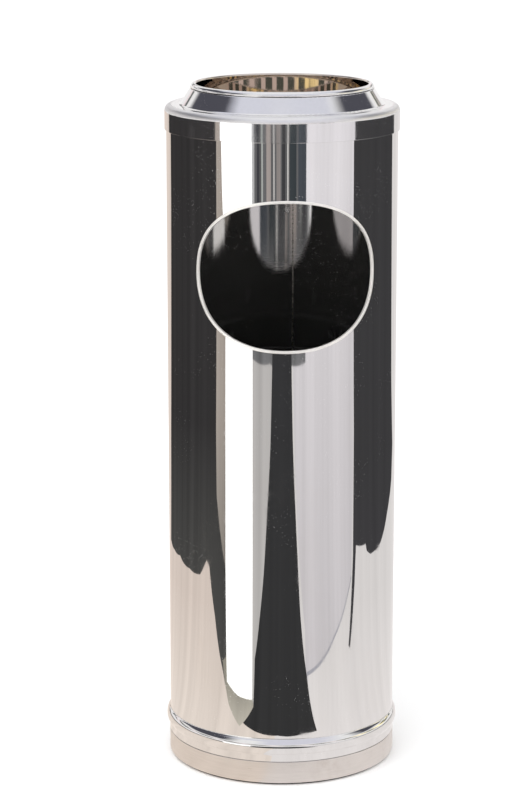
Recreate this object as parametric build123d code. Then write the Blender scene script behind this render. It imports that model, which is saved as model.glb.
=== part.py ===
"""Free-standing ashtray bin: a polished steel tube on a weighted base, with a lift-off lid
that carries a drop-in ash bowl, a side opening for waste, and a liner bucket inside.

Millimetres, +Z up. The origin is at the bottom centre, and the side opening faces -Y.
"""
import os
from math import asin, copysign, cos, degrees, pi, radians, sin, sqrt, tan

from build123d import *

# ---- overall sizes -------------------------------------------------------------------
BODY_RADIUS = 100.0            # outside of the tube
TOTAL_HEIGHT = 602.0           # floor to the crest of the ash bowl's rim
SHELL_SHEET = 1.0              # steel sheet of the tube
LID_SHEET = 1.0
BOWL_SHEET = 0.9
PAN_SHEET = 1.2
LINER_SHEET = 0.8
EDGE_ROUND = 0.3               # broken edges of cut sheet
CUT_OVERRUN = 1.0              # drills and cutters run this far past what they cut
TOUCHING = 0.001               # nearer than this counts as touching

# ---- clearances ----------------------------------------------------------------------
SEAT_GAP = 0.3                 # between a lift-off piece and what it stands on
LID_FIT = 0.4                  # round the tube, inside the lid's skirt
BOWL_FIT = 0.6                 # round the bowl's neck, inside the lid's flange
RING_FIT = 0.1                 # joining ring in the tube
PIVOT_FIT = 0.05               # bail pin in its ear
HOLE_FIT = 0.15                # screws, bolts and rivets in plain holes
THREAD_FIT = 0.04              # screws and bolts in their nuts
HEAD_FIT = 0.02                # rivet heads on curved sheet

# ---- base ----------------------------------------------------------------------------
BAND_STEP = 0.6                # the base band stands this far out from the tube
BAND_TOP = 21.4                # top of the base pan's wall
PAN_CORNER = 2.5
PAN_STEP_RADIUS = 2.0
FOOT_THICKNESS = 1.5
FOOT_WIDTH = 8.0
FOOT_INSET = 3.6               # foot ring's outer edge, in from the base band
FOOT_FACE_WIDTH = 13.6         # pan's underside outside the pressed-up floor
PAN_FLOOR_UNDERSIDE = 10.0     # the pan's floor is pressed up, clear of the ground
PAN_STEP_RUN = 4.0             # how far the step between floor and foot face slopes out
SEAM_GAP = 0.3                 # between the base band and the tube's lower edge

RING_SHEET = 1.5
RING_HEIGHT = 46.0             # joining ring, from its flange up the inside of the tube
RING_BEND = 2.5
SCREW_INSET = 6.0              # screw circle, in from the pan floor's edge and from the flange's
JOINING_SCREWS = 4
JOINING_SCREW_RADIUS = 2.5
JOINING_SCREW_PROUD = 1.8      # screw end past its nut
SCREW_SLOT_WIDTH = 1.2
SCREW_SLOT_DEPTH = 1.2

BALLAST_GAP = 1.5              # ballast plate's edge, in from the joining ring's flange
BALLAST_THICKNESS = 16.0
BALLAST_CHAMFER = 1.5
BALLAST_BOLT_RADIUS = 3.0
BALLAST_BOLT_PROUD = 1.0
COUNTERBORE_RADIUS = 8.5
COUNTERBORE_DEPTH = 7.0

WASHER_THICKNESS = 1.2
NUT_HEIGHT_PER_RADIUS = 1.65   # hexagon nuts, near enough, from M5 to M6
NUT_FLATS_PER_RADIUS = 1.64    # half the width across flats
HEX_HEAD_PER_RADIUS = 1.35     # height of a hexagon head
PAN_HEAD_RADIUS_PER_RADIUS = 1.8
PAN_HEAD_HEIGHT_PER_RADIUS = 1.2
PAN_HEAD_ROUND_PER_HEIGHT = 0.4
SMALL_WASHER_PER_RADIUS = 1.76
LARGE_WASHER_PER_RADIUS = 3.0

# ---- tube and side opening -----------------------------------------------------------
BEAD_TOP = 42.0                # the swaged bead above the lower band
BEAD_CREST_HEIGHT = 35.0
BEAD_BOTTOM = 28.0
BEAD_REACH = 5.5               # the bead's corner before rounding, out from the tube
BEAD_RADII = (2.0, 9.6, 2.0)   # where it leaves the tube, over its crest, and where it ends

OPENING_DROP = 152.4           # centre of the side opening, down from the rim
OPENING_HALF_WIDTH = 84.6      # along the tube's surface, to the trim's outer edge
OPENING_HALF_HEIGHT = 64.9
OPENING_FULLNESS = 2.18        # how far the outline's corners fill out: 2 would be an ellipse
OPENING_POINTS = 32
TRIM_WIDTH = 2.4
TRIM_FIT = 0.05                # between the trim and the cut edge it is pressed into
TRIM_PROUD = 0.8               # past the sheet, outside and inside
TRIM_ROUND = 0.55

RIVET_RISE = 26.4              # small blind rivet in the back wall, up from the opening's centre
RIVET_ANGLE = 5.0              # degrees round from the back, towards +X
RIVET_RADIUS = 1.6
RIVET_HEAD_RADIUS = 2.7
RIVET_HEAD_THICKNESS = 0.9
RIVET_HEAD_ROUND = 0.6

# ---- lid -----------------------------------------------------------------------------
LEDGE_DROP = 18.0              # flat shoulder on top of the skirt, down from the rim
SKIRT_DEPTH = 21.4
SKIRT_CORNER = 5.5
LEDGE_WIDTH = 13.4
CONE_FOOT_FILLET = 2.2
CONE_RUN = 9.0                 # how far the cone leans in
CONE_TOP_ROUND = 1.3

# ---- ash bowl ------------------------------------------------------------------------
RIM_HEIGHT = 3.8               # how far the bowl's rim stands above the cone
RIM_WIDTH = 5.0
RIM_ROUNDS = (3.3, 1.4)        # outside and inside of the rim
NECK_DEPTH = 18.0
NECK_BEND = 20.0
BOWL_DEPTH = 62.0
BOWL_DRAFT = 7.2               # how much narrower the bowl is at its floor
BOWL_CORNER = 14.0

# ---- liner bucket and its bail --------------------------------------------------------
LINER_GAP = 19.0               # all round the liner, inside the tube
LINER_DROP = 39.7              # liner's rim, below the opening's lower edge
LINER_CORNER = 6.0
LINER_WIRE_RADIUS = 1.5        # wire rolled into the rim
LINER_WIRE_OUT = 0.6           # wire's centre, out from the wall
BAIL_PIVOT_DROP = 15.0         # below the liner's rim
BAIL_WIRE_RADIUS = 2.0
BAIL_BEND = 4.0
BAIL_SIDE_GAP = 0.25           # between an ear and the start of the wire's bend
BAIL_FOLD = 20.0               # degrees the folded bail hangs below level
BAIL_HEAD_RADIUS = 3.2
BAIL_HEAD_THICKNESS = 1.2
BAIL_HEAD_GAP = 0.6
EAR_SEAT = 0.05                # between an ear and the liner's wall
EAR_SHEET = 1.2
EAR_WIDTH = 24.0
EAR_HEIGHT = 14.0
EAR_CORNER = 5.0
EAR_RIVET_PITCH = 15.0
EAR_RIVET_RADIUS = 1.5
EAR_RIVET_HEAD_RADIUS = 2.5
EAR_RIVET_HEAD_THICKNESS = 0.8
EAR_RIVET_HEAD_ROUND = 0.5

# ---- places worked out from the sizes above -------------------------------------------
BASE_RADIUS = BODY_RADIUS + BAND_STEP
BODY_BORE = BODY_RADIUS - SHELL_SHEET
PAN_FLOOR_RADIUS = BASE_RADIUS - FOOT_FACE_WIDTH - PAN_STEP_RUN
PAN_FLOOR = PAN_FLOOR_UNDERSIDE + PAN_SHEET
SCREW_CIRCLE = PAN_FLOOR_RADIUS - SCREW_INSET
FLANGE_INNER = SCREW_CIRCLE - SCREW_INSET
BALLAST_RADIUS = FLANGE_INNER - BALLAST_GAP
BALLAST_TOP = PAN_FLOOR + BALLAST_THICKNESS
TUBE_BOTTOM = BAND_TOP + SEAM_GAP

LEDGE_HEIGHT = TOTAL_HEIGHT - LEDGE_DROP
SKIRT_RADIUS = BODY_RADIUS + LID_FIT + LID_SHEET
CORNER_INSIDE = SKIRT_CORNER - LID_SHEET     # the lid stands on the tube inside this round corner
TUBE_TOP = LEDGE_HEIGHT - SKIRT_CORNER + sqrt(
    (CORNER_INSIDE - SEAT_GAP) ** 2 - (CORNER_INSIDE - LID_FIT) ** 2
)
CONE_FOOT_RADIUS = SKIRT_RADIUS - LEDGE_WIDTH
RIM_RADIUS = CONE_FOOT_RADIUS - CONE_RUN
RIM_BOTTOM = TOTAL_HEIGHT - RIM_HEIGHT
CONE_TOP = RIM_BOTTOM - SEAT_GAP
NECK_RADIUS = RIM_RADIUS - RIM_WIDTH
BOWL_FLOOR = TOTAL_HEIGHT - BOWL_DEPTH
BOWL_FLOOR_RADIUS = NECK_RADIUS - BOWL_DRAFT

OPENING_HEIGHT = TOTAL_HEIGHT - OPENING_DROP
RIVET_HEIGHT = OPENING_HEIGHT + RIVET_RISE
LINER_RADIUS = BODY_BORE - LINER_GAP
LINER_BOTTOM = BALLAST_TOP + SEAT_GAP
LINER_TOP = OPENING_HEIGHT - OPENING_HALF_HEIGHT - LINER_DROP
BAIL_HEIGHT = LINER_TOP - BAIL_PIVOT_DROP
EAR_FACE = LINER_RADIUS + EAR_SEAT + EAR_SHEET
BAIL_RADIUS = EAR_FACE + BAIL_SIDE_GAP + BAIL_BEND


def other_face(points, radii, thickness):
    """Corners and radii of a sheet's second face, to the left of the first for a thickness
    above zero and to the right for one below."""
    runs = [(Vector(*end) - Vector(*start)).normalized() for start, end in zip(points, points[1:])]
    normals = [Vector(-run.Y, run.X) for run in runs]
    corners = [Vector(*points[0]) + normals[0] * thickness]
    for corner, before, after in zip(points[1:-1], normals, normals[1:]):
        miter = (before + after) * (thickness / (1 + before.dot(after)))
        corners.append(Vector(*corner) + miter)
    corners.append(Vector(*points[-1]) + normals[-1] * thickness)
    turns = [copysign(1, before.cross(after).Z) for before, after in zip(runs, runs[1:])]
    return corners, [radius - turn * thickness for radius, turn in zip(radii, turns)]


def spun_sheet(points, radii, thickness):
    """A sheet pressed or spun to a profile: the line (radius, height) given is one face of
    the sheet, and the thickness is taken as in other_face."""
    corners, second_radii = other_face(points, radii, thickness)
    first = FilletPolyline(*points, radius=radii)
    second = FilletPolyline(*corners, radius=second_radii)
    cuts = [Line(first @ 0, second @ 0), Line(first @ 1, second @ 1)]
    section = make_face(first.edges() + second.edges() + [cut.edge() for cut in cuts])
    free_corners = [
        corner
        for corner in section.vertices()
        if corner.X > TOUCHING and any(cut.edge().distance_to(corner) < TOUCHING for cut in cuts)
    ]
    section = fillet(free_corners, EDGE_ROUND)
    return revolve(Plane.XZ * section, Axis.Z)


def cylinder(radius, bottom, top, x=0.0, y=0.0):
    """An upright cylinder between two heights."""
    return Pos(x, y, (bottom + top) / 2) * Cylinder(radius, top - bottom)


def drill(radius, bottom, top):
    """Cutter for an upright hole between two heights."""
    return cylinder(radius, bottom - CUT_OVERRUN, top + CUT_OVERRUN)


def tube(inner, outer, bottom, top):
    """An upright ring between two heights."""
    return cylinder(outer, bottom, top) - drill(inner, bottom, top)


def hexagon(screw_radius, bottom, top, bore=0.0):
    """A hexagon nut or head for the given screw radius, with a bore where one is given."""
    flats = screw_radius * NUT_FLATS_PER_RADIUS
    prism = extrude(Pos(0, 0, bottom) * RegularPolygon(flats, 6, major_radius=False), top - bottom)
    return prism - drill(bore, bottom, top) if bore else prism


def around(shape, radius, count, start=45.0):
    """Copies of a shape spaced evenly on a circle."""
    step = 360.0 / count
    return [Rot(0, 0, start + index * step) * Pos(radius, 0, 0) * shape for index in range(count)]


def save(name, *solids):
    """Write one sub-part, as one or more separate solids."""
    shape = solids[0] if len(solids) == 1 else Compound(children=[Solid(s.solid().wrapped) for s in solids])
    export_step(shape, os.path.join("parts", name + ".step"))


# ---- base ------------------------------------------------------------------------------
def foot_ring():
    """Flat rubber ring under the base pan."""
    outer = BASE_RADIUS - FOOT_INSET
    return tube(outer - FOOT_WIDTH, outer, 0.0, FOOT_THICKNESS)


def base_pan():
    """Pressed pan: its wall is the satin band at the foot of the bin."""
    underside = [
        (0.0, PAN_FLOOR_UNDERSIDE),
        (PAN_FLOOR_RADIUS, PAN_FLOOR_UNDERSIDE),
        (PAN_FLOOR_RADIUS + PAN_STEP_RUN, FOOT_THICKNESS),
        (BASE_RADIUS, FOOT_THICKNESS),
        (BASE_RADIUS, BAND_TOP),
    ]
    pan = spun_sheet(underside, (PAN_STEP_RADIUS, PAN_STEP_RADIUS, PAN_CORNER), PAN_SHEET)
    pan -= drill(BALLAST_BOLT_RADIUS + HOLE_FIT, PAN_FLOOR_UNDERSIDE, PAN_FLOOR)
    hole_shape = drill(JOINING_SCREW_RADIUS + HOLE_FIT, PAN_FLOOR_UNDERSIDE, PAN_FLOOR)
    for hole in around(hole_shape, SCREW_CIRCLE, JOINING_SCREWS):
        pan -= hole
    return pan


def joining_ring():
    """Angle-section ring that ties the tube to the pan."""
    outer = BODY_BORE - RING_FIT
    inside = [
        (FLANGE_INNER, PAN_FLOOR),
        (outer, PAN_FLOOR),
        (outer, PAN_FLOOR + RING_HEIGHT),
    ]
    ring = spun_sheet(inside, (RING_BEND,), RING_SHEET)
    hole_shape = drill(JOINING_SCREW_RADIUS + HOLE_FIT, PAN_FLOOR, PAN_FLOOR + RING_SHEET)
    for hole in around(hole_shape, SCREW_CIRCLE, JOINING_SCREWS):
        ring -= hole
    return ring


def joining_screw_heights():
    """Top of the ring's flange, of the washer and of the nut."""
    flange_top = PAN_FLOOR + RING_SHEET
    washer_top = flange_top + WASHER_THICKNESS
    return flange_top, washer_top, washer_top + JOINING_SCREW_RADIUS * NUT_HEIGHT_PER_RADIUS


def joining_screws():
    """Pan-head screws put in from under the pan."""
    nut_top = joining_screw_heights()[2]
    head_bottom = PAN_FLOOR_UNDERSIDE - JOINING_SCREW_RADIUS * PAN_HEAD_HEIGHT_PER_RADIUS
    head_radius = JOINING_SCREW_RADIUS * PAN_HEAD_RADIUS_PER_RADIUS
    head = cylinder(head_radius, head_bottom, PAN_FLOOR_UNDERSIDE)
    head_round = PAN_HEAD_ROUND_PER_HEIGHT * (PAN_FLOOR_UNDERSIDE - head_bottom)
    head = fillet(head.edges().group_by(Axis.Z)[0], head_round)
    shank = cylinder(JOINING_SCREW_RADIUS, PAN_FLOOR_UNDERSIDE, nut_top + JOINING_SCREW_PROUD)
    slot_length = 2 * (head_radius + CUT_OVERRUN)
    slot = Pos(0, 0, head_bottom) * Box(slot_length, SCREW_SLOT_WIDTH, 2 * SCREW_SLOT_DEPTH)
    return around(head + shank - slot, SCREW_CIRCLE, JOINING_SCREWS)


def joining_washers():
    flange_top, washer_top, _ = joining_screw_heights()
    washer = tube(JOINING_SCREW_RADIUS + HOLE_FIT, JOINING_SCREW_RADIUS * SMALL_WASHER_PER_RADIUS,
                  flange_top, washer_top)
    return around(washer, SCREW_CIRCLE, JOINING_SCREWS)


def joining_nuts():
    _, washer_top, nut_top = joining_screw_heights()
    nut = hexagon(JOINING_SCREW_RADIUS, washer_top, nut_top, JOINING_SCREW_RADIUS + THREAD_FIT)
    return around(nut, SCREW_CIRCLE, JOINING_SCREWS)


def ballast_plate():
    """Iron disc that keeps the bin from tipping; the liner stands on it."""
    plate = cylinder(BALLAST_RADIUS, PAN_FLOOR, BALLAST_TOP)
    plate = chamfer(plate.edges(), BALLAST_CHAMFER)
    plate -= drill(BALLAST_BOLT_RADIUS + HOLE_FIT, PAN_FLOOR, BALLAST_TOP)
    plate -= cylinder(COUNTERBORE_RADIUS, BALLAST_TOP - COUNTERBORE_DEPTH, BALLAST_TOP + CUT_OVERRUN)
    return plate


def ballast_heights():
    """Under the bolt's head, then under the washer and under the nut, going down."""
    washer_bottom = PAN_FLOOR_UNDERSIDE - WASHER_THICKNESS
    nut_bottom = washer_bottom - BALLAST_BOLT_RADIUS * NUT_HEIGHT_PER_RADIUS
    return BALLAST_TOP - COUNTERBORE_DEPTH, washer_bottom, nut_bottom


def ballast_bolt():
    """Hexagon bolt, head down in the ballast's counterbore."""
    seat, _, nut_bottom = ballast_heights()
    head = hexagon(BALLAST_BOLT_RADIUS, seat, seat + BALLAST_BOLT_RADIUS * HEX_HEAD_PER_RADIUS)
    return head + cylinder(BALLAST_BOLT_RADIUS, nut_bottom - BALLAST_BOLT_PROUD, seat)


def ballast_washer():
    washer_bottom = ballast_heights()[1]
    return tube(BALLAST_BOLT_RADIUS + HOLE_FIT, BALLAST_BOLT_RADIUS * LARGE_WASHER_PER_RADIUS,
                washer_bottom, PAN_FLOOR_UNDERSIDE)


def ballast_nut():
    _, washer_bottom, nut_bottom = ballast_heights()
    return hexagon(BALLAST_BOLT_RADIUS, nut_bottom, washer_bottom, BALLAST_BOLT_RADIUS + THREAD_FIT)


# ---- tube ------------------------------------------------------------------------------
def opening_wedge(inset):
    """Solid that cuts the side opening square to the tube's surface.

    The outline, drawn on the unrolled surface, is an ellipse with its corners filled out,
    made smaller all round by the inset. Its copies on two upright planes, joined by straight
    lines from the tube's axis out, give walls that run radially through the sheet.
    """
    edge_angle = (OPENING_HALF_WIDTH - inset) / BODY_RADIUS
    half_height = OPENING_HALF_HEIGHT - inset
    outline = []
    for index in range(OPENING_POINTS):
        turn = 2 * pi * index / OPENING_POINTS
        across, up = [
            copysign(abs(share) ** (2 / OPENING_FULLNESS), share) for share in (cos(turn), sin(turn))
        ]
        outline.append((edge_angle * across, half_height * up))
    near = BODY_BORE * cos(edge_angle) / 2     # half way from the axis to the opening's sides
    far = BODY_RADIUS + TRIM_PROUD + CUT_OVERRUN
    steps = list(range(OPENING_POINTS + 1))
    faces = []
    for reach in (near, far):
        points = [(reach * tan(angle), -reach, OPENING_HEIGHT + up) for angle, up in outline]
        faces.append(make_face(Edge.make_spline(points, periodic=True, parameters=steps)))
    return loft(faces, ruled=True)


def body_shell():
    """Rolled tube with its side opening, and a swaged bead above the lower band."""
    outside = [
        (BODY_RADIUS, TUBE_TOP),
        (BODY_RADIUS, BEAD_TOP),
        (BODY_RADIUS + BEAD_REACH, BEAD_CREST_HEIGHT),
        (BASE_RADIUS, BEAD_BOTTOM),
        (BASE_RADIUS, TUBE_BOTTOM),
    ]
    shell = spun_sheet(outside, BEAD_RADII, -SHELL_SHEET)
    shell -= opening_wedge(-TRIM_FIT)
    hole = Rot(0, 90, 0) * Cylinder(RIVET_RADIUS + HOLE_FIT, 2 * (SHELL_SHEET + CUT_OVERRUN))
    return shell - Rot(0, 0, 90 - RIVET_ANGLE) * Pos(BODY_RADIUS, 0, RIVET_HEIGHT) * hole


def opening_trim():
    """Rounded edging pressed into the cut edge of the side opening, proud on both faces."""
    top = OPENING_HEIGHT + OPENING_HALF_HEIGHT + CUT_OVERRUN
    bottom = OPENING_HEIGHT - OPENING_HALF_HEIGHT - CUT_OVERRUN
    band = tube(BODY_BORE - TRIM_PROUD, BODY_RADIUS + TRIM_PROUD, bottom, top)
    edging = (band & opening_wedge(0.0)) - opening_wedge(TRIM_WIDTH)
    return fillet(edging.edges(), TRIM_ROUND)


def back_rivet():
    """Blind rivet through the back wall, a low dome outside and inside."""
    out = (SHELL_SHEET + RIVET_HEAD_THICKNESS) / 2
    head = Rot(0, 90, 0) * Cylinder(RIVET_HEAD_RADIUS, RIVET_HEAD_THICKNESS)
    outer_head = fillet((Pos(out, 0, 0) * head).edges().group_by(Axis.X)[-1], RIVET_HEAD_ROUND)
    inner_place = -out - 2 * HEAD_FIT
    inner_head = fillet((Pos(inner_place, 0, 0) * head).edges().group_by(Axis.X)[0], RIVET_HEAD_ROUND)
    shank = Pos(-HEAD_FIT, 0, 0) * Rot(0, 90, 0) * Cylinder(RIVET_RADIUS, SHELL_SHEET + 2 * HEAD_FIT)
    rivet = outer_head + shank + inner_head
    middle = BODY_RADIUS - SHELL_SHEET / 2
    return Rot(0, 0, 90 - RIVET_ANGLE) * Pos(middle, 0, RIVET_HEIGHT) * rivet


# ---- lid and ash bowl --------------------------------------------------------------------
def lid_cap():
    """Spun lid: skirt, flat shoulder, cone and an inward flange that carries the bowl."""
    outside = [
        (SKIRT_RADIUS, LEDGE_HEIGHT - SKIRT_DEPTH),
        (SKIRT_RADIUS, LEDGE_HEIGHT),
        (CONE_FOOT_RADIUS, LEDGE_HEIGHT),
        (RIM_RADIUS, CONE_TOP),
        (NECK_RADIUS + BOWL_SHEET + BOWL_FIT, CONE_TOP),
    ]
    return spun_sheet(outside, (SKIRT_CORNER, CONE_FOOT_FILLET, CONE_TOP_ROUND), LID_SHEET)


def ash_bowl():
    """Drop-in bowl that hangs by its rounded rim."""
    inside = [
        (RIM_RADIUS, RIM_BOTTOM),
        (RIM_RADIUS, TOTAL_HEIGHT),
        (NECK_RADIUS, TOTAL_HEIGHT),
        (NECK_RADIUS, TOTAL_HEIGHT - NECK_DEPTH),
        (BOWL_FLOOR_RADIUS, BOWL_FLOOR),
        (0.0, BOWL_FLOOR),
    ]
    return spun_sheet(inside, (*RIM_ROUNDS, NECK_BEND, BOWL_CORNER), BOWL_SHEET)


# ---- liner -------------------------------------------------------------------------------
def liner_bucket():
    """Enamelled bucket with a wired rim, drilled for the bail and its ears."""
    wall_top = LINER_TOP - LINER_WIRE_RADIUS
    outside = [(0.0, LINER_BOTTOM), (LINER_RADIUS, LINER_BOTTOM), (LINER_RADIUS, wall_top)]
    bucket = spun_sheet(outside, (LINER_CORNER,), LINER_SHEET)
    rim = Pos(LINER_RADIUS + LINER_WIRE_OUT, wall_top) * Circle(LINER_WIRE_RADIUS)
    bucket += revolve(Plane.XZ * rim, Axis.Z)
    across = 2 * (LINER_RADIUS + CUT_OVERRUN)
    bucket -= Pos(0, 0, BAIL_HEIGHT) * Rot(0, 90, 0) * Cylinder(BAIL_WIRE_RADIUS + HOLE_FIT, across)
    rivet_hole = Rot(0, 90, 0) * Cylinder(EAR_RIVET_RADIUS + HOLE_FIT, across)
    for angle in ear_rivet_angles():
        bucket -= Rot(0, 0, angle) * Pos(0, 0, BAIL_HEIGHT) * rivet_hole
    return bucket


def ear_rivet_angles():
    """Directions of the rivet pairs, either side of the bail's axis."""
    half = degrees(asin(EAR_RIVET_PITCH / 2 / LINER_RADIUS))
    return (half, -half)


def liner_ears():
    """Two curved plates that the bail turns in, one on each side of the liner."""
    plate = extrude(RectangleRounded(EAR_WIDTH, EAR_HEIGHT, EAR_CORNER), EAR_WIDTH)
    window = Pos(LINER_RADIUS - EAR_WIDTH / 2, 0, BAIL_HEIGHT) * Rot(0, 90, 0) * Rot(0, 0, 90) * plate
    band = tube(LINER_RADIUS + EAR_SEAT, EAR_FACE, BAIL_HEIGHT - EAR_HEIGHT, BAIL_HEIGHT + EAR_HEIGHT)
    ear = band & window
    depth = 2 * (EAR_SEAT + EAR_SHEET + CUT_OVERRUN)
    pivot_hole = Rot(0, 90, 0) * Cylinder(BAIL_WIRE_RADIUS + PIVOT_FIT, depth)
    rivet_hole = Rot(0, 90, 0) * Cylinder(EAR_RIVET_RADIUS + HOLE_FIT, depth)
    place = Pos(LINER_RADIUS, 0, BAIL_HEIGHT)
    ear -= place * pivot_hole
    for angle in ear_rivet_angles():
        ear -= Rot(0, 0, angle) * place * rivet_hole
    return [ear, Rot(0, 0, 180) * ear]


def liner_ear_rivets():
    """Four rivets, two to an ear, headed inside and outside."""
    inner = LINER_RADIUS - LINER_SHEET - 2 * HEAD_FIT
    outer = EAR_FACE + HEAD_FIT
    shank = Pos((inner + outer) / 2, 0, 0) * Rot(0, 90, 0) * Cylinder(EAR_RIVET_RADIUS, outer - inner)
    head = Rot(0, 90, 0) * Cylinder(EAR_RIVET_HEAD_RADIUS, EAR_RIVET_HEAD_THICKNESS)
    outside = Pos(outer + EAR_RIVET_HEAD_THICKNESS / 2, 0, 0) * head
    inside = Pos(inner - EAR_RIVET_HEAD_THICKNESS / 2, 0, 0) * head
    outside = fillet(outside.edges().group_by(Axis.X)[-1], EAR_RIVET_HEAD_ROUND)
    inside = fillet(inside.edges().group_by(Axis.X)[0], EAR_RIVET_HEAD_ROUND)
    rivet = Pos(0, 0, BAIL_HEIGHT) * (outside + shank + inside)
    half = ear_rivet_angles()[0]
    return [Rot(0, 0, angle) * rivet for angle in (half, -half, 180 + half, 180 - half)]


def liner_bail():
    """Wire bail, hooked into both ears and folded back against the liner."""
    head_face = LINER_RADIUS - LINER_SHEET - BAIL_HEAD_GAP
    start = (head_face, 0)
    right_end = (BAIL_RADIUS - BAIL_BEND, 0)
    right_pin = Line(start, right_end)
    right_bend = JernArc(right_end, (1, 0), BAIL_BEND, 90)
    bow = JernArc(right_bend @ 1, (0, 1), BAIL_RADIUS, 180)
    left_bend = JernArc(bow @ 1, (0, -1), BAIL_BEND, 90)
    left_pin = Line(left_bend @ 1, (-head_face, 0))
    drop = radians(BAIL_FOLD)
    fold = Plane((0, 0, BAIL_HEIGHT), x_dir=(1, 0, 0), z_dir=(0, sin(drop), cos(drop)))
    route = fold * Wire([right_pin.edge(), right_bend.edge(), bow.edge(), left_bend.edge(), left_pin.edge()])
    section = Plane(route @ 0, z_dir=route % 0) * Circle(BAIL_WIRE_RADIUS)
    bail = sweep(section, path=route)
    head = Rot(0, 90, 0) * Cylinder(BAIL_HEAD_RADIUS, BAIL_HEAD_THICKNESS)
    for side in (1, -1):
        bail += Pos(side * (head_face - BAIL_HEAD_THICKNESS / 2), 0, BAIL_HEIGHT) * head
    return bail


os.makedirs("parts", exist_ok=True)

save("foot_ring", foot_ring())
save("base_pan", base_pan())
save("joining_ring", joining_ring())
save("joining_screws", *joining_screws())
save("joining_washers", *joining_washers())
save("joining_nuts", *joining_nuts())
save("ballast_plate", ballast_plate())
save("ballast_bolt", ballast_bolt())
save("ballast_washer", ballast_washer())
save("ballast_nut", ballast_nut())
save("body_shell", body_shell())
save("opening_trim", opening_trim())
save("back_rivet", back_rivet())
save("lid_cap", lid_cap())
save("ash_bowl", ash_bowl())
save("liner_bucket", liner_bucket())
save("liner_ears", *liner_ears())
save("liner_ear_rivets", *liner_ear_rivets())
save("liner_bail", liner_bail())
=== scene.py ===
import math

import bmesh
import bpy
from mathutils import Matrix, Vector


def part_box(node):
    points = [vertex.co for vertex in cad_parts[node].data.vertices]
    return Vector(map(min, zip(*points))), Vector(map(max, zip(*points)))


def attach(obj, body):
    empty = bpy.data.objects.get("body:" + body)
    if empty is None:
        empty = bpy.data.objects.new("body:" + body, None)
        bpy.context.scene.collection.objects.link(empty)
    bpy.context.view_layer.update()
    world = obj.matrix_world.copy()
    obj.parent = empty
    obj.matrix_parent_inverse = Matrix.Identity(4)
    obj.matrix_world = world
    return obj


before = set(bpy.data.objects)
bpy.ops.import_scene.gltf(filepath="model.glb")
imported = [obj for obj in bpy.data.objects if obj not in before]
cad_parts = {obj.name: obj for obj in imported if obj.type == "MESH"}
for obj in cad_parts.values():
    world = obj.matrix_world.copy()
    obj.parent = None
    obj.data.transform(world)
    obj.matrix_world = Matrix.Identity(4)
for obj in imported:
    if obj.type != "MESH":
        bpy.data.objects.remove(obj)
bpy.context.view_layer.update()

# ---- Camera ---------------------------------------------------------------------------
# A long lens a little over two metres away and above the rim, looking down at the bin,
# which stands turned a few degrees so that its opening faces the viewer's right.
CAMERA_AZIMUTH = math.radians(-2.3)
CAMERA_DISTANCE = 2.339
CAMERA_HEIGHT = 0.8603
CAMERA_PITCH = math.radians(12.96)
CAMERA_YAW = math.radians(0.363)

camera_data = bpy.data.cameras.new("camera")
camera_data.sensor_width = 36.0
camera_data.lens = 122.48
camera_data.clip_end = 50.0
camera = bpy.data.objects.new("camera", camera_data)
camera.location = (
    math.sin(CAMERA_AZIMUTH) * CAMERA_DISTANCE,
    -math.cos(CAMERA_AZIMUTH) * CAMERA_DISTANCE,
    CAMERA_HEIGHT,
)
camera.rotation_euler = (math.radians(90) - CAMERA_PITCH, 0.0, CAMERA_AZIMUTH + CAMERA_YAW)
bpy.context.collection.objects.link(camera)
bpy.context.scene.camera = camera
bpy.context.scene.view_settings.view_transform = "Standard"


# ---- Studio: room seen in the polish ------------------------------------------------------
# The bin stands in a white studio. What its polished sheet mirrors is a room: a pale low wall
# with a band of window panes in it, dark screens above to the left and right, a lilac ceiling
# and a skylight overhead.
def new_nodes(tree):
    """Empty a node tree and return short ways to add nodes and links."""
    tree.nodes.clear()

    def add(kind, inputs=None, **values):
        node = tree.nodes.new(kind)
        for name, value in values.items():
            setattr(node, name, value)
        for name, value in (inputs or {}).items():
            if isinstance(value, bpy.types.NodeSocket):
                tree.links.new(value, node.inputs[name])
            else:
                node.inputs[name].default_value = value
        return node

    return add, tree.links.new


def fill_ramp(ramp_node, stops):
    """Set a colour ramp from (place, colour) pairs, the places running from 0 to 1."""
    ramp = ramp_node.color_ramp
    while len(ramp.elements) > 1:
        ramp.elements.remove(ramp.elements[-1])
    ramp.elements[0].position = stops[0][0]
    ramp.elements[0].color = (*stops[0][1], 1.0)
    for place, colour in stops[1:]:
        ramp.elements.new(place).color = (*colour, 1.0)


def spread_out(add, value, low, high, to_low=0.0, to_high=1.0):
    """A value read between two limits and spread over two others."""
    inputs = {"Value": value, "From Min": low, "From Max": high, "To Min": to_low, "To Max": to_high}
    return add("ShaderNodeMapRange", inputs).outputs[0]


def maths(add, operation, first, second=0.0):
    """One arithmetic step."""
    return add("ShaderNodeMath", {0: first, 1: second}, operation=operation).outputs[0]


def mixed(add, factor, first, second):
    """Two colours mixed by a mask."""
    mix = add("ShaderNodeMix", {"Factor": factor}, data_type="RGBA")
    for name, value in (("A", first), ("B", second)):
        if isinstance(value, bpy.types.NodeSocket):
            mix.id_data.links.new(value, mix.inputs[name])
        else:
            mix.inputs[name].default_value = (*value, 1.0)
    return mix.outputs["Result"]


WHITE = (1.0, 1.0, 1.0)
LOW_WALL = (0.98, 0.97, 0.97)
SCREEN_NAVY = (0.085, 0.085, 0.105)
BACKDROP = (0.98, 0.97, 0.97)
LILAC_WALL = (0.78, 0.78, 0.88)
CEILING = (0.78, 0.79, 0.88)
SKYLIGHT = (1.0, 1.0, 1.02)
WINDOW_PANE = (0.14, 0.16, 0.15)
WINDOW_BAR = (0.98, 0.87, 0.88)
WINDOW_LIGHT = (1.8, 1.55, 0.85)

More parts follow.
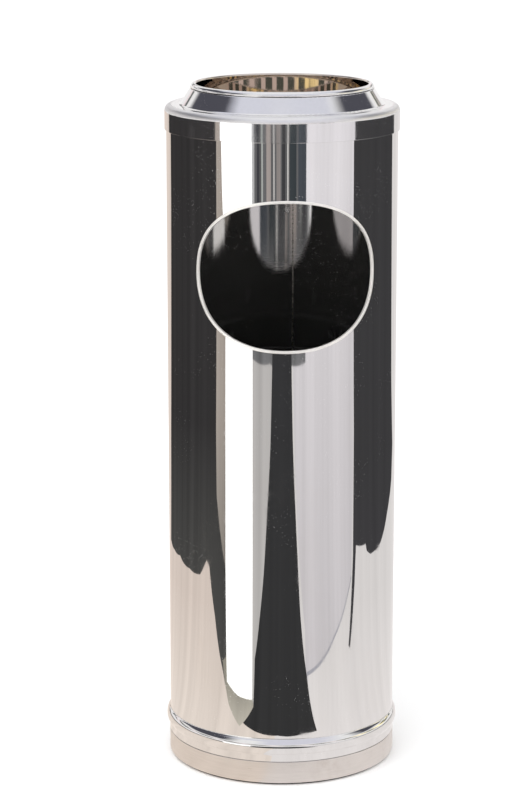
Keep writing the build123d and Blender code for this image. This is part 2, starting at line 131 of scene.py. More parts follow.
world = bpy.data.worlds.new("studio")
bpy.context.scene.world = world
world.use_nodes = True
add, link = new_nodes(world.node_tree)
direction = add("ShaderNodeTexCoord").outputs["Generated"]
turned = add("ShaderNodeVectorRotate", {"Vector": direction, "Angle": -CAMERA_AZIMUTH},
             rotation_type="Z_AXIS")
parts = add("ShaderNodeSeparateXYZ", {0: turned.outputs[0]})
towards_viewer = maths(add, "MULTIPLY", parts.outputs["Y"], -1.0)
heading = maths(add, "ARCTAN2", parts.outputs["X"], towards_viewer)
heading_share = spread_out(add, heading, -math.pi, math.pi)


def bearing(degrees):
    """Place on the ramps for a bearing: 0 towards the viewer, 90 to the viewer's right."""
    return (degrees + 180.0) / 360.0


def elevation(degrees):
    """Height on the sky for an angle above the floor."""
    return math.sin(math.radians(degrees))


def above(degrees_from, degrees_to):
    """Mask that rises from 0 to 1 between two elevations."""
    return spread_out(add, parts.outputs["Z"], elevation(degrees_from), elevation(degrees_to))


walls = add("ShaderNodeValToRGB", {0: heading_share})
fill_ramp(walls, [
    (bearing(-180), BACKDROP),
    (bearing(-150), BACKDROP),
    (bearing(-145), SCREEN_NAVY),
    (bearing(-64), SCREEN_NAVY),
    (bearing(-46), WHITE),
    (bearing(-30), WHITE),
    (bearing(-14), LILAC_WALL),
    (bearing(40), LILAC_WALL),
    (bearing(76), WHITE),
    (bearing(94), SCREEN_NAVY),
    (bearing(134), SCREEN_NAVY),
    (bearing(144), BACKDROP),
])

# The bowl catches one narrow band of the room, low down: grey panes between pale bars, turning
# golden towards the window side. The band has two rows of panes, and the bars lean a little.
PANES_ROUND = 12
PANE_ROWS = 2.0
ROWS_FROM = 7.8
ROWS_TO = 14.5
BAR_LEAN = 0.22
UPRIGHT_BAR_FROM = 0.31
LEVEL_BAR_FROM = 0.42
BAR_BLUR = 0.04
around = maths(add, "MULTIPLY", heading_share, PANES_ROUND)
upwards = spread_out(add, parts.outputs["Z"], elevation(ROWS_FROM), elevation(ROWS_TO), 0.0, PANE_ROWS)
slanted = maths(add, "ADD", around, maths(add, "MULTIPLY", upwards, BAR_LEAN))
bars = []
for place, edge in ((slanted, UPRIGHT_BAR_FROM), (upwards, LEVEL_BAR_FROM)):
    off_centre = maths(add, "SUBTRACT", maths(add, "FRACT", place), 0.5)
    from_middle = maths(add, "ABSOLUTE", off_centre)
    bars.append(spread_out(add, from_middle, edge - BAR_BLUR, edge + BAR_BLUR))
bar = maths(add, "MAXIMUM", bars[0], bars[1])
window_side = spread_out(add, heading, 1.0, 1.6)
far_side = spread_out(add, heading, 2.7, 2.2)
golden = maths(add, "MULTIPLY", window_side, far_side)
panes = mixed(add, bar, WINDOW_PANE, mixed(add, golden, WINDOW_BAR, WINDOW_LIGHT))

# From the floor up: low wall, band of panes, low wall again, walls, ceiling and skylight.
low_wall = mixed(add, above(7.6, 8.2), LOW_WALL, panes)
low_wall = mixed(add, above(14, 15), low_wall, LOW_WALL)
room = mixed(add, above(18, 22), low_wall, walls.outputs[0])
room = mixed(add, above(44, 50), room, CEILING)
room = mixed(add, above(58, 66), room, SKYLIGHT)

# Only mirrored rays see the room. The camera sees white, and all else is lit evenly.
ROOM_LIGHT = 1.12
ray = add("ShaderNodeLightPath")
plain = mixed(add, ray.outputs["Is Camera Ray"], (ROOM_LIGHT, ROOM_LIGHT, ROOM_LIGHT), WHITE)
seen = mixed(add, ray.outputs["Is Glossy Ray"], plain, room)
background = add("ShaderNodeBackground", {"Color": seen})
add("ShaderNodeOutputWorld", {0: background.outputs[0]})


# ---- Studio: floor and cards ---------------------------------------------------------------
# The pale floor takes soft shadows and isn't mirrored. Thin cards lying on it are seen only in
# reflections: a pale sweep round the bin, dark screens, an aisle and a strip light beyond it.
def flat_card(name, corners, height):
    """A level sheet with the given corners, in metres, in the viewer's directions."""
    mesh = bpy.data.meshes.new(name)
    bm = bmesh.new()
    turn = Matrix.Rotation(CAMERA_AZIMUTH, 4, "Z")
    bm.faces.new([bm.verts.new(turn @ Vector((x, y, height))) for x, y in corners])
    bmesh.ops.triangulate(bm, faces=bm.faces)
    bmesh.ops.recalc_face_normals(bm, faces=bm.faces)
    bm.to_mesh(mesh)
    bm.free()
    card = bpy.data.objects.new(name, mesh)
    bpy.context.collection.objects.link(card)
    return card


def mirrored_only(card):
    """Hide a card from everything but reflections."""
    card.visible_camera = False
    card.visible_diffuse = False
    card.visible_shadow = False
    card.visible_transmission = False
    card.visible_volume_scatter = False


GLOW_FROM = 0.2


def glow(name, near, far, reach, strength, uneven):
    """A glow whose colour changes with the distance from the bin, and is uneven round it."""
    material = bpy.data.materials.new(name)
    material.use_nodes = True
    add, link = new_nodes(material.node_tree)
    place = add("ShaderNodeTexCoord")
    distance = add("ShaderNodeVectorMath", {0: place.outputs["Object"]}, operation="LENGTH")
    ramp = add("ShaderNodeValToRGB", {0: spread_out(add, distance.outputs["Value"], GLOW_FROM, reach)})
    fill_ramp(ramp, [(0.0, near), (1.0, far)])
    outwards = add("ShaderNodeVectorMath", {0: place.outputs["Object"]}, operation="NORMALIZE")
    shades = add("ShaderNodeTexNoise", {"Vector": outwards.outputs[0], "Scale": 7.0, "Detail": 4.0,
                                        "Roughness": 0.45})
    dimmest = strength * (1.0 - uneven)
    brightest = strength * (1.0 + uneven)
    dimming = spread_out(add, shades.outputs[0], 0.3, 0.7, dimmest, brightest)
    light = add("ShaderNodeEmission", {"Color": ramp.outputs[0], "Strength": dimming})
    add("ShaderNodeOutputMaterial", {"Surface": light.outputs[0]})
    return material


FLOOR_REACH = 30
floor = flat_card("floor", [(-FLOOR_REACH, -FLOOR_REACH), (FLOOR_REACH, -FLOOR_REACH),
                            (FLOOR_REACH, FLOOR_REACH), (-FLOOR_REACH, FLOOR_REACH)], 0.0)
floor_paint = bpy.data.materials.new("floor_paint")
floor_paint.use_nodes = True
floor_shader = floor_paint.node_tree.nodes["Principled BSDF"]
floor_shader.inputs["Base Color"].default_value = (0.95, 0.95, 0.95, 1.0)
floor_shader.inputs["Roughness"].default_value = 0.9
floor_shader.inputs["Specular IOR Level"].default_value = 0.1
floor.data.materials.append(floor_paint)
floor.visible_glossy = False

# Each card: name, height, colour close to the bin, colour far off, how far off, brightness,
# unevenness, and its corners, x to the viewer's right and y away from the viewer.
CARDS = [
    ("sweep_right", 0.0002, (0.92, 0.88, 0.87), (0.82, 0.79, 0.78), 0.6, 1.0, 0.05,
     [(-0.02, -8), (8, -8), (8, 8), (-0.02, 8)]),
    ("sweep_left", 0.0002, (0.93, 0.83, 0.75), (0.80, 0.69, 0.62), 0.6, 1.0, 0.08,
     [(-8, -8), (-0.02, -8), (-0.02, 8), (-8, 8)]),
    ("pale_card", 0.0004, (0.68, 0.65, 0.67), (0.88, 0.85, 0.88), 3.6, 1.0, 0.10,
     [(0.12, -0.30), (0.16, -0.36), (0.24, -0.34), (0.38, -0.32), (0.65, -0.23), (1.33, -0.36),
      (3.28, -0.91), (7.8, -2.2), (7.8, -7.8), (1.0, -7.8), (0.20, -0.50)]),
    ("card_edge", 0.0006, (0.40, 0.40, 0.45), (0.50, 0.49, 0.52), 0.8, 1.0, 0.1,
     [(0.15, -0.358), (0.24, -0.340), (0.38, -0.314), (0.65, -0.227), (0.66, -0.234), (0.385, -0.322),
      (0.245, -0.350), (0.155, -0.370)]),
    ("grey_card", 0.0004, (0.64, 0.62, 0.60), (0.58, 0.56, 0.55), 1.0, 1.0, 0.10,
     [(-0.13, -0.26), (-0.11, -0.30), (0.0, -1.0), (0.0, -1.9), (-1.1, -1.9), (-0.37, -0.70)]),
    ("brown_card", 0.0006, (0.30, 0.28, 0.25), (0.52, 0.46, 0.41), 1.6, 1.0, 0.35,
     [(-0.60, -0.42), (-0.74, -0.34), (-0.95, -0.40), (-1.28, -0.52), (-3.71, -1.53), (-7.8, -3.2),
      (-7.8, -5.4)]),
    ("left_screen", 0.0008, (0.105, 0.105, 0.10), (0.042, 0.040, 0.041), 1.4, 1.0, 0.18,
     [(-7.6, 10.8), (-1.92, 2.69), (-0.65, 1.09), (-0.36, 0.63), (-0.50, 0.50), (-0.61, 0.36),
      (-0.67, 0.14), (-0.68, -0.05), (-0.73, -0.16), (-0.70, -0.20), (-0.50, -0.225), (-0.31, -0.222),
      (-0.21, -0.205), (-0.27, -0.24), (-0.60, -0.42), (-0.72, -0.42), (-0.95, -0.42), (-1.28, -0.53),
      (-3.71, -1.55), (-7.8, -3.3)]),
    ("right_screen", 0.0008, (0.062, 0.060, 0.066), (0.054, 0.053, 0.056), 1.2, 1.0, 0.10,
     [(7.8, -2.2), (3.28, -0.91), (1.33, -0.35), (0.74, -0.225), (0.41, -0.19), (0.41, -0.175),
      (0.79, -0.178), (0.80, 0.0), (0.77, 0.02), (0.745, 0.09), (0.70, 0.32), (0.66, 0.58), (0.58, 0.83),
      (0.62, 1.02), (0.96, 1.27), (2.3, 2.75), (7.8, 9.2)]),
    ("far_room", 0.0008, (0.30, 0.30, 0.31), (0.15, 0.15, 0.155), 2.6, 1.0, 0.25,
     [(-0.94, -1.62), (-0.37, -1.80), (0.29, -1.80), (0.72, -1.70), (3.4, -7.8), (-4.6, -7.8)]),
    ("strip_shade", 0.0010, (0.78, 0.73, 0.63), (0.34, 0.32, 0.27), 0.36, 1.0, 0.10,
     [(-0.34, -0.235), (-0.21, -0.200), (-0.135, -0.195), (-0.115, -0.27), (-0.15, -0.30),
      (-0.34, -0.28)]),
    ("dark_aisle", 0.0012, (0.042, 0.042, 0.043), (0.045, 0.045, 0.048), 2.0, 1.0, 0.12,
     [(-0.13, -0.21), (-0.08, -0.214), (-0.01, -0.222), (0.07, -0.214), (0.11, -0.20), (0.15, -0.36),
      (0.18, -0.58), (0.21, -0.77), (0.23, -0.97), (0.25, -1.31), (0.29, -1.72), (0.36, -2.3),
      (-0.34, -2.3), (-0.29, -1.70), (-0.25, -1.30), (-0.24, -0.97), (-0.22, -0.76), (-0.20, -0.54),
      (-0.18, -0.40), (-0.12, -0.27)]),
    ("strip_light", 0.0014, (1.0, 1.0, 0.94), (1.0, 1.0, 1.0), 0.5, 1.7, 0.0,
     [(-0.135, -0.285), (-0.20, -0.250), (-0.27, -0.228), (-0.64, -0.44), (-1.17, -0.76), (-2.0, -1.27),
      (-3.2, -1.76), (-7.6, -3.9), (-4.3, -7.7), (-1.68, -3.0), (-0.68, -1.24), (-0.37, -0.70)]),
]
for name, height, near, far, reach, strength, uneven, corners in CARDS:
    card = flat_card(name, corners, height)
    card.data.materials.append(glow(name + "_glow", near, far, reach, strength, uneven))
    mirrored_only(card)

# Far-off uprights, seen as thin bright or dark lines high up on the tube and on the lid.
# Each: bearing and half width in degrees, where it starts, and its glow.
UPRIGHT_HEIGHT = 0.0016
UPRIGHT_END = 8.0
UPRIGHTS = [
    (-28.0, 0.9, 2.4, (0.55, 0.55, 0.56)),
    (-23.5, 1.1, 2.6, (0.07, 0.07, 0.08)),
    (-19.5, 0.9, 2.9, (0.50, 0.52, 0.50)),
    (-13.0, 2.2, 2.5, (0.42, 0.37, 0.35)),
    (-8.0, 0.7, 3.4, (0.60, 0.58, 0.57)),
    (-3.5, 2.0, 2.3, (0.32, 0.29, 0.28)),
    (1.5, 1.6, 2.6, (0.06, 0.06, 0.065)),
    (5.5, 0.6, 2.3, (0.80, 0.78, 0.76)),
    (10.5, 3.2, 2.5, (0.055, 0.065, 0.072)),
    (19.5, 4.0, 2.4, (0.075, 0.085, 0.10)),
]
for number, (middle, half_width, start, colour) in enumerate(UPRIGHTS, 1):
    corners = []
    for degrees, distance in ((middle - half_width, start), (middle + half_width, start),
                              (middle + half_width, UPRIGHT_END), (middle - half_width, UPRIGHT_END)):
        angle = math.radians(degrees)
        corners.append((distance * math.sin(angle), -distance * math.cos(angle)))
    upright = flat_card(f"upright_{number}", corners, UPRIGHT_HEIGHT)
    upright.data.materials.append(glow(f"upright_{number}_glow", colour, colour, 1.0, 1.0, 0.2))
    mirrored_only(upright)

key_data = bpy.data.lights.new("overhead_softbox", "AREA")
key_data.shape = "RECTANGLE"
key_data.size = 1.6
key_data.size_y = 1.2
key_data.energy = 20.0
key = bpy.data.objects.new("overhead_softbox", key_data)
key.location = (-0.5, -0.9, 2.4)
key.rotation_euler = (math.radians(22), math.radians(-12), 0.0)
key.visible_glossy = False
bpy.context.collection.objects.link(key)


# ---- Foot ring ------------------------------------------------------------------------------
# A flat ring of black rubber, cut from sheet and glued under the pan. Its skin is matt and
# finely pitted, and it picks up pale grit from the floor.
def stretched(add, scale):
    """Object coordinates, in metres, multiplied along each axis."""
    place = add("ShaderNodeTexCoord")
    return add("ShaderNodeMapping", {"Vector": place.outputs["Object"], "Scale": scale}).outputs[0]


def noise(add, vector, scale, detail=2.0, roughness=0.5):
    """Soft noise, 0 to 1."""
    inputs = {"Vector": vector, "Scale": scale, "Detail": detail, "Roughness": roughness}
    return add("ShaderNodeTexNoise", inputs).outputs[0]


def new_finish(name, metallic):
    """A material with its shader and output, and short ways to add nodes."""
    material = bpy.data.materials.new(name)
    material.use_nodes = True
    add, link = new_nodes(material.node_tree)
    shader = add("ShaderNodeBsdfPrincipled", {"Metallic": metallic})
    add("ShaderNodeOutputMaterial", {"Surface": shader.outputs[0]})
    return material, shader, add, link


def raise_surface(add, link, shader, height, distance):
    """Raise the surface by a height, 0 to 1, of so many metres, through the shader's normal."""
    bump = add("ShaderNodeBump", {"Height": height, "Distance": distance, "Strength": 1.0})
    link(bump.outputs[0], shader.inputs["Normal"])


def dress(material, *nodes):
    """Give CAD nodes their material."""
    for node in nodes:
        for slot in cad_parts[node].material_slots:
            slot.material = material


rubber, shader, add, link = new_finish("black_rubber", 0.0)
pits = noise(add, stretched(add, (1, 1, 1)), 1400, 3.0)
grit = spread_out(add, noise(add, stretched(add, (1, 1, 1)), 260, 4.0, 0.7), 0.60, 0.72)
link(mixed(add, grit, (0.018, 0.018, 0.019), (0.11, 0.105, 0.10)), shader.inputs["Base Color"])
link(spread_out(add, pits, 0.3, 0.7, 0.62, 0.85), shader.inputs["Roughness"])
raise_surface(add, link, shader, pits, 0.00012)
dress(rubber, "foot_ring")


# ---- Base pan -------------------------------------------------------------------------------
# A pan pressed from stainless sheet. Its wall, the band at the foot of the bin, is left satin:
# fine turning lines run round it, with a few handling smudges and scuffs low down.
def new_group(name, inputs, outputs):
    """Start a shared effect: inputs are (name, kind, value), outputs (name, kind)."""
    group = bpy.data.node_groups.new(name, "ShaderNodeTree")
    for label, kind, value in inputs:
        socket = group.interface.new_socket(name=label, in_out="INPUT", socket_type="NodeSocket" + kind)
        socket.default_value = value
    for label, kind in outputs:
        group.interface.new_socket(name=label, in_out="OUTPUT", socket_type="NodeSocket" + kind)
    add, link = new_nodes(group)
    return group, add, link, add("NodeGroupInput"), add("NodeGroupOutput")


def place_group(add, group, **values):
    """Put a shared effect in a material with its own values."""
    node = add("ShaderNodeGroup", node_tree=group)
    for name, value in values.items():
        node.inputs[name].default_value = value
    return node


turning, add, link, group_in, group_out = new_group(
    "turning_lines",
    [("Fineness", "Float", 2600.0)],
    [("Tone", "Float")],
)
rings = add("ShaderNodeTexNoise", {"Vector": stretched(add, (0.02, 0.02, 1)),
                                   "Scale": group_in.outputs["Fineness"], "Detail": 3.0})
broad = noise(add, stretched(add, (0.06, 0.06, 1)), 420, 2.0)
both = maths(add, "ADD", maths(add, "MULTIPLY", rings.outputs[0], 0.7), maths(add, "MULTIPLY", broad, 0.3))
link(both, group_out.inputs["Tone"])

handling, add, link, group_in, group_out = new_group(
    "handling_marks",
    [("Smudges", "Float", 0.5), ("Scratches", "Float", 0.5), ("Specks", "Float", 0.5)],
    [("Haze", "Float"), ("Marks", "Float")],
)
cloud = noise(add, stretched(add, (1, 1, 0.6)), 26, 5.0, 0.62)
dabs = noise(add, stretched(add, (1, 1, 1)), 120, 3.0, 0.6)
haze = maths(add, "MULTIPLY", spread_out(add, cloud, 0.50, 0.74), spread_out(add, dabs, 0.36, 0.62))
link(maths(add, "MULTIPLY", haze, group_in.outputs["Smudges"]), group_out.inputs["Haze"])
where = spread_out(add, noise(add, stretched(add, (1, 1, 1)), 19, 2.0), 0.48, 0.60)
lines = []
for lean, scale in ((9.0, (300, 300, 14)), (-23.0, (360, 360, 22)), (64.0, (420, 420, 30))):
    place = add("ShaderNodeTexCoord")
    leaning = add("ShaderNodeVectorRotate", {"Vector": place.outputs["Object"], "Angle": math.radians(lean)},
                  rotation_type="Y_AXIS")
    squeezed = add("ShaderNodeMapping", {"Vector": leaning.outputs[0], "Scale": scale})
    dashes = add("ShaderNodeTexVoronoi", {"Vector": squeezed.outputs[0], "Scale": 1.0})
    lines.append(spread_out(add, dashes.outputs["Distance"], 0.05, 0.03))
scratches = maths(add, "MAXIMUM", maths(add, "MAXIMUM", lines[0], lines[1]), lines[2])
scratches = maths(add, "MULTIPLY", maths(add, "MULTIPLY", scratches, where), group_in.outputs["Scratches"])
dots = add("ShaderNodeTexVoronoi", {"Vector": stretched(add, (1, 1, 1)), "Scale": 460.0})
specks = spread_out(add, dots.outputs["Distance"], 0.14, 0.06)
specks = maths(add, "MULTIPLY", maths(add, "MULTIPLY", specks, where), group_in.outputs["Specks"])
link(maths(add, "MAXIMUM", scratches, specks), group_out.inputs["Marks"])

satin, shader, add, link = new_finish("satin_steel", 1.0)
lines = place_group(add, turning, Fineness=3000.0)
wear = place_group(add, handling, Smudges=0.8, Scratches=0.7, Specks=0.6)
tone = mixed(add, lines.outputs["Tone"], (0.60, 0.565, 0.535), (0.84, 0.80, 0.765))
tone = mixed(add, wear.outputs["Haze"], tone, (0.60, 0.55, 0.51))
link(mixed(add, wear.outputs["Marks"], tone, (0.88, 0.86, 0.84)), shader.inputs["Base Color"])
rough = spread_out(add, lines.outputs["Tone"], 0.3, 0.7, 0.27, 0.42)
rough = maths(add, "ADD", rough, maths(add, "MULTIPLY", wear.outputs["Haze"], 0.12))
link(rough, shader.inputs["Roughness"])
raise_surface(add, link, shader, lines.outputs["Tone"], 0.00004)
dress(satin, "base_pan")


# ---- Joining ring, screws, washers and nuts --------------------------------------------------
# The ring is rolled angle left as it came from the mill, dull with faint rolling streaks. Its
# fasteners are bright zinc plated: bluish, with yellow blushes and chafed corners.
mill, shader, add, link = new_finish("mill_finish", 1.0)
streak = noise(add, stretched(add, (0.05, 0.05, 1)), 900, 3.0)
stain = noise(add, stretched(add, (1, 1, 1)), 34, 4.0, 0.6)
tone = mixed(add, streak, (0.40, 0.40, 0.41), (0.58, 0.57, 0.57))
link(mixed(add, spread_out(add, stain, 0.52, 0.7), tone, (0.34, 0.31, 0.28)), shader.inputs["Base Color"])
link(spread_out(add, stain, 0.3, 0.7, 0.32, 0.52), shader.inputs["Roughness"])
raise_surface(add, link, shader, streak, 0.00005)
dress(mill, "joining_ring")

plating, add, link, group_in, group_out = new_group(
    "zinc_plating",
    [("Blush", "Float", 0.5)],
    [("Colour", "Color"), ("Rough", "Float"), ("Height", "Float")],
)
patch = noise(add, stretched(add, (1, 1, 1)), 300, 3.0)
grain = noise(add, stretched(add, (1, 1, 1)), 2600, 2.0)
blush = maths(add, "MULTIPLY", spread_out(add, patch, 0.45, 0.65), group_in.outputs["Blush"])
link(mixed(add, blush, (0.62, 0.65, 0.68), (0.70, 0.62, 0.42)), group_out.inputs["Colour"])
link(spread_out(add, grain, 0.3, 0.7, 0.22, 0.38), group_out.inputs["Rough"])
link(grain, group_out.inputs["Height"])


def plated(name, blush, grain_depth):
    """Bright zinc plating, more or less yellowed."""
    material, shader, add, link = new_finish(name, 1.0)
    coat = place_group(add, plating, Blush=blush)
    link(coat.outputs["Colour"], shader.inputs["Base Color"])
    link(coat.outputs["Rough"], shader.inputs["Roughness"])
    raise_surface(add, link, shader, coat.outputs["Height"], grain_depth)
    return material


dress(plated("plated_fasteners", 0.8, 0.00003), "joining_screws", "joining_washers", "joining_nuts")


# ---- Ballast plate, bolt, washer and nut -----------------------------------------------------
# The ballast is a cast iron disc, black painted over its rough skin and rubbed through to grey
# on its high spots. One plated bolt clamps it to the pan.
iron, shader, add, link = new_finish("painted_iron", 0.0)
skin = noise(add, stretched(add, (1, 1, 1)), 320, 5.0, 0.65)
rubbed = spread_out(add, noise(add, stretched(add, (1, 1, 1)), 90, 6.0, 0.7), 0.62, 0.72)
link(mixed(add, rubbed, (0.016, 0.016, 0.017), (0.085, 0.080, 0.075)), shader.inputs["Base Color"])
link(spread_out(add, skin, 0.3, 0.7, 0.42, 0.68), shader.inputs["Roughness"])
raise_surface(add, link, shader, skin, 0.0005)
dress(iron, "ballast_plate")
dress(plated("plated_bolt", 0.5, 0.00003), "ballast_bolt", "ballast_washer", "ballast_nut")


# ---- Tube -----------------------------------------------------------------------------------
# The body is stainless sheet, rolled, seam-welded at the back, swaged and mirror polished. The
# polish wavers a little up and down, and carries hairlines, specks and finger haze.
polishing, add, link, group_in, group_out = new_group(
    "mirror_polish",
    [("Drawing", "Float", 0.0)],
    [("Height", "Float")],
)
upright_wave = noise(add, stretched(add, (1, 1, 0.05)), 46, 1.0)
upright_line = noise(add, stretched(add, (1, 1, 0.012)), 520, 2.0)
waver = maths(add, "ADD", upright_wave, maths(add, "MULTIPLY", upright_line, 0.035))
drawn = noise(add, stretched(add, (0.02, 0.02, 1)), 3600, 1.0)
drawn = maths(add, "MULTIPLY", drawn, group_in.outputs["Drawing"])
link(maths(add, "ADD", waver, drawn), group_out.inputs["Height"])

# The tube's bore lies within the lid's skirt by the skirt's sheet, the fit and the tube's sheet.
SKIRT_TO_BORE = 0.0024
TUBE_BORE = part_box("lid_cap")[1].x - SKIRT_TO_BORE

# Hands rub the corner of the lid's shoulder, from this level up and from this radius out.
EDGE_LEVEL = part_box("body_shell")[1].z - 0.0010
EDGE_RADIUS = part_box("lid_cap")[1].x - 0.0060
EDGE_BLEND = 0.0012
INSIDE_BLEND = 0.0003


def mirror_steel(name, colour, inside_colour, inside_radius, inside_drawing, roughs, inside_metal, marks):
    """Mirror polish outside, and another colour and polish within the given radius."""
    material, shader, add, link = new_finish(name, 1.0)
    place = add("ShaderNodeTexCoord")
    level = add("ShaderNodeVectorMath", {0: place.outputs["Object"], 1: (1, 1, 0)}, operation="MULTIPLY")
    radius = add("ShaderNodeVectorMath", {0: level.outputs[0]}, operation="LENGTH").outputs["Value"]
    inside = spread_out(add, radius, inside_radius + INSIDE_BLEND, inside_radius)
    wear = place_group(add, handling, Smudges=marks, Scratches=marks, Specks=marks)
    tone = mixed(add, inside, colour, inside_colour)
    blotch = noise(add, stretched(add, (1, 1, 0.5)), 15, 4.0, 0.6)
    blotch = maths(add, "MULTIPLY", spread_out(add, blotch, 0.5, 0.8), 0.22)
    tone = mixed(add, blotch, tone, (0.66, 0.63, 0.58))
    brushed = noise(add, stretched(add, (1, 1, 0.02)), 420, 4.0, 0.7)
    tone = mixed(add, spread_out(add, brushed, 0.35, 0.75, 0.0, 0.09), tone, (0.55, 0.53, 0.51))
    marked = maths(add, "MULTIPLY", wear.outputs["Marks"], 0.7)
    link(mixed(add, marked, tone, (0.95, 0.95, 0.95)), shader.inputs["Base Color"])
    rough = spread_out(add, inside, 0.0, 1.0, roughs[0], roughs[1])
    rough = maths(add, "ADD", rough, maths(add, "MULTIPLY", wear.outputs["Haze"], 0.10))
    rough = maths(add, "ADD", rough, maths(add, "MULTIPLY", wear.outputs["Marks"], 0.38))
    height = add("ShaderNodeSeparateXYZ", {0: place.outputs["Object"]}).outputs["Z"]
    corner = maths(add, "MULTIPLY", spread_out(add, height, EDGE_LEVEL, EDGE_LEVEL + EDGE_BLEND),
                   spread_out(add, radius, EDGE_RADIUS, EDGE_RADIUS + EDGE_BLEND))
    link(maths(add, "ADD", rough, maths(add, "MULTIPLY", corner, 0.34)), shader.inputs["Roughness"])
    if inside_metal < 1.0:
        link(spread_out(add, inside, 0.0, 1.0, 1.0, inside_metal), shader.inputs["Metallic"])
    polish = place_group(add, polishing)
    link(maths(add, "MULTIPLY", inside, inside_drawing), polish.inputs["Drawing"])
    raise_surface(add, link, shader, polish.outputs["Height"], 0.00002)
    return material


TUBE_POLISH = (0.80, 0.795, 0.79)
TUBE_INSIDE = (0.58, 0.57, 0.56)
dress(mirror_steel("mirror_tube", TUBE_POLISH, TUBE_INSIDE, TUBE_BORE + INSIDE_BLEND,
                   0.40, (0.02, 0.03), 0.94, 0.9), "body_shell")

# The weld inside the tube is a low bead, a few degrees round from the middle of the back.
WELD_ANGLE = math.radians(8.0)
WELD_HALF_WIDTH = 0.0006
WELD_RISE = 0.00025
WELD_SEGMENTS = 12
WELD_STEPS = 90
WELD_SWELL = 0.04
weld_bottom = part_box("joining_ring")[1].z + 0.002
weld_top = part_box("body_shell")[1].z - 0.001

weld_mesh = bpy.data.meshes.new("seam_weld")
bm = bmesh.new()
bmesh.ops.create_circle(bm, cap_ends=False, segments=WELD_SEGMENTS, radius=1.0)
bmesh.ops.scale(bm, vec=(WELD_HALF_WIDTH, WELD_RISE, 1.0), verts=bm.verts)
bmesh.ops.translate(bm, vec=(0.0, TUBE_BORE, weld_bottom), verts=bm.verts)
step = (weld_top - weld_bottom) / WELD_STEPS
ends = bm.edges[:]
bmesh.ops.holes_fill(bm, edges=ends, sides=0)
for number in range(WELD_STEPS):
    raised = bmesh.ops.extrude_edge_only(bm, edges=ends)["geom"]
    ends = [item for item in raised if isinstance(item, bmesh.types.BMEdge)]
    ring = [item for item in raised if isinstance(item, bmesh.types.BMVert)]
    width_before = 1.0 + WELD_SWELL * math.sin(1.9 * number)
    width_after = 1.0 + WELD_SWELL * math.sin(1.9 * (number + 1))
    swell = width_after / width_before
    bmesh.ops.translate(bm, vec=(0.0, 0.0, step), verts=ring)
    bmesh.ops.scale(bm, vec=(swell, 1.0, 1.0), verts=ring)
bmesh.ops.holes_fill(bm, edges=ends, sides=0)
bmesh.ops.recalc_face_normals(bm, faces=bm.faces)
bmesh.ops.rotate(bm, cent=(0, 0, 0), matrix=Matrix.Rotation(-WELD_ANGLE, 3, "Z"), verts=bm.verts)
for face in bm.faces:
    face.smooth = True
bm.to_mesh(weld_mesh)
bm.free()
weld = bpy.data.objects.new("seam_weld", weld_mesh)
bpy.context.collection.objects.link(weld)

blued, shader, add, link = new_finish("blued_weld", 1.0)
ripple = noise(add, stretched(add, (1, 1, 1)), 700, 3.0)
link(mixed(add, ripple, (0.46, 0.43, 0.38), (0.66, 0.64, 0.60)), shader.inputs["Base Color"])
link(spread_out(add, ripple, 0.3, 0.7, 0.2, 0.34), shader.inputs["Roughness"])
raise_surface(add, link, shader, ripple, 0.0001)
weld.data.materials.append(blued)
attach(weld, "base")


# ---- Opening trim ----------------------------------------------------------------------------
# A rounded edging of bright nickel-plated strip, pressed into the cut edge. Hands and waste
# brush past it, so it is finely scuffed along its length.
trim, shader, add, link = new_finish("bright_trim", 0.75)
scuff = noise(add, stretched(add, (1, 1, 1)), 900, 3.0)
wear = place_group(add, handling, Smudges=0.6, Scratches=0.8, Specks=0.8)
tone = mixed(add, scuff, (0.93, 0.91, 0.87), (1.0, 0.98, 0.94))
link(mixed(add, wear.outputs["Haze"], tone, (0.70, 0.66, 0.62)), shader.inputs["Base Color"])
rough = spread_out(add, scuff, 0.3, 0.7, 0.40, 0.55)
rough = maths(add, "ADD", rough, maths(add, "MULTIPLY", wear.outputs["Marks"], 0.15))
link(rough, shader.inputs["Roughness"])
raise_surface(add, link, shader, scuff, 0.00003)
dress(trim, "opening_trim")


# ---- Back rivet ------------------------------------------------------------------------------
# A small blind rivet of stainless steel through the back wall, set by hand and left as it was,
# with a faint ring where the tool bore on it.
rivet, shader, add, link = new_finish("set_rivet", 1.0)
dimple = noise(add, stretched(add, (1, 1, 1)), 1100, 3.0)
link(mixed(add, dimple, (0.55, 0.54, 0.53), (0.78, 0.77, 0.76)), shader.inputs["Base Color"])
link(spread_out(add, dimple, 0.3, 0.7, 0.12, 0.30), shader.inputs["Roughness"])
raise_surface(add, link, shader, dimple, 0.00006)
dress(rivet, "back_rivet")


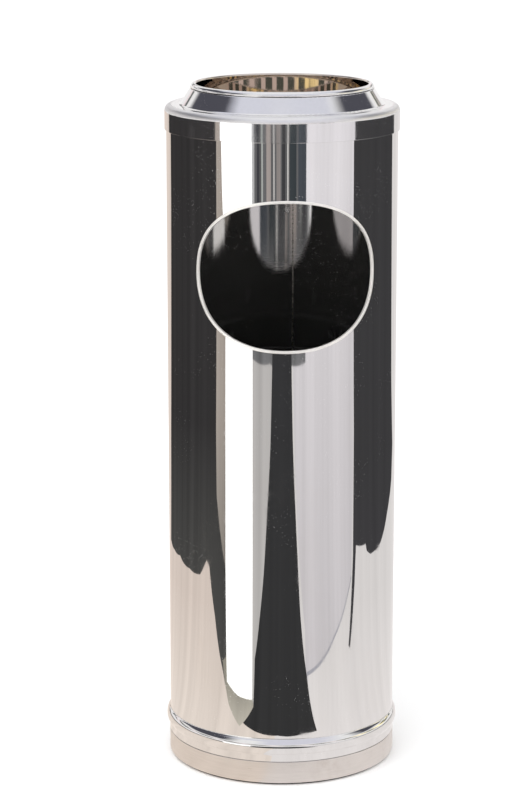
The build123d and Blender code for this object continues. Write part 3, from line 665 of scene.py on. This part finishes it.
# ---- Lid -------------------------------------------------------------------------------------
# Spun from one disc of stainless: skirt, flat shoulder and cone in one, then polished a little
# less sharply than the tube. It lifts off with the bowl.
LID_POLISH = (0.81, 0.805, 0.805)
dress(mirror_steel("mirror_lid", LID_POLISH, LID_POLISH, 0.0, 0.0, (0.07, 0.07), 1.0, 0.8), "lid_cap")


# ---- Ash bowl --------------------------------------------------------------------------------
# A deep drawn stainless bowl that stands by its rolled rim on the cone. The rim is bright;
# inside, heat and smoke have browned the polish, over faint drawing rings.
RIM_WIDTH = 0.0040
BOWL_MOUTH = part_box("ash_bowl")[1].x - RIM_WIDTH
RIM_POLISH = (0.80, 0.795, 0.795)
SMOKED_POLISH = (0.66, 0.60, 0.545)
dress(mirror_steel("smoked_bowl", RIM_POLISH, SMOKED_POLISH, BOWL_MOUTH,
                   0.04, (0.12, 0.02), 1.0, 0.6), "ash_bowl")


# ---- Liner: bucket, ears, rivets and bail ------------------------------------------------------
# A sheet steel bucket enamelled black, with a wired rim; its near-black is also painted shade for the
# dark inside of the bin. Zinc-plated ears are riveted on, and a plated wire bail hooks into them and
# folds back against the wall.
enamel_and_shade, shader, add, link = new_finish("black_enamel_and_painted_shade", 0.0)
shader.inputs["Coat Roughness"].default_value = 0.25
orange_peel = noise(add, stretched(add, (1, 1, 1)), 520, 2.0)
chips = spread_out(add, noise(add, stretched(add, (1, 1, 1)), 70, 6.0, 0.75), 0.70, 0.74)
dust = spread_out(add, noise(add, stretched(add, (1, 1, 1)), 40, 4.0, 0.6), 0.4, 0.75)
# Painted shade: the near-black base is the bucket's black enamelling, and it also stands in for the shade
# inside the bin; dust greys it a little.
tone = mixed(add, maths(add, "MULTIPLY", dust, 0.5), (0.006, 0.006, 0.006), (0.030, 0.028, 0.026))
link(mixed(add, chips, tone, (0.16, 0.15, 0.14)), shader.inputs["Base Color"])
link(spread_out(add, dust, 0.0, 1.0, 0.34, 0.60), shader.inputs["Roughness"])
raise_surface(add, link, shader, orange_peel, 0.00012)
dress(enamel_and_shade, "liner_bucket")
dress(plated("plated_ears", 0.6, 0.00004), "liner_ears", "liner_ear_rivets")
dress(plated("plated_wire", 0.3, 0.00002), "liner_bail")
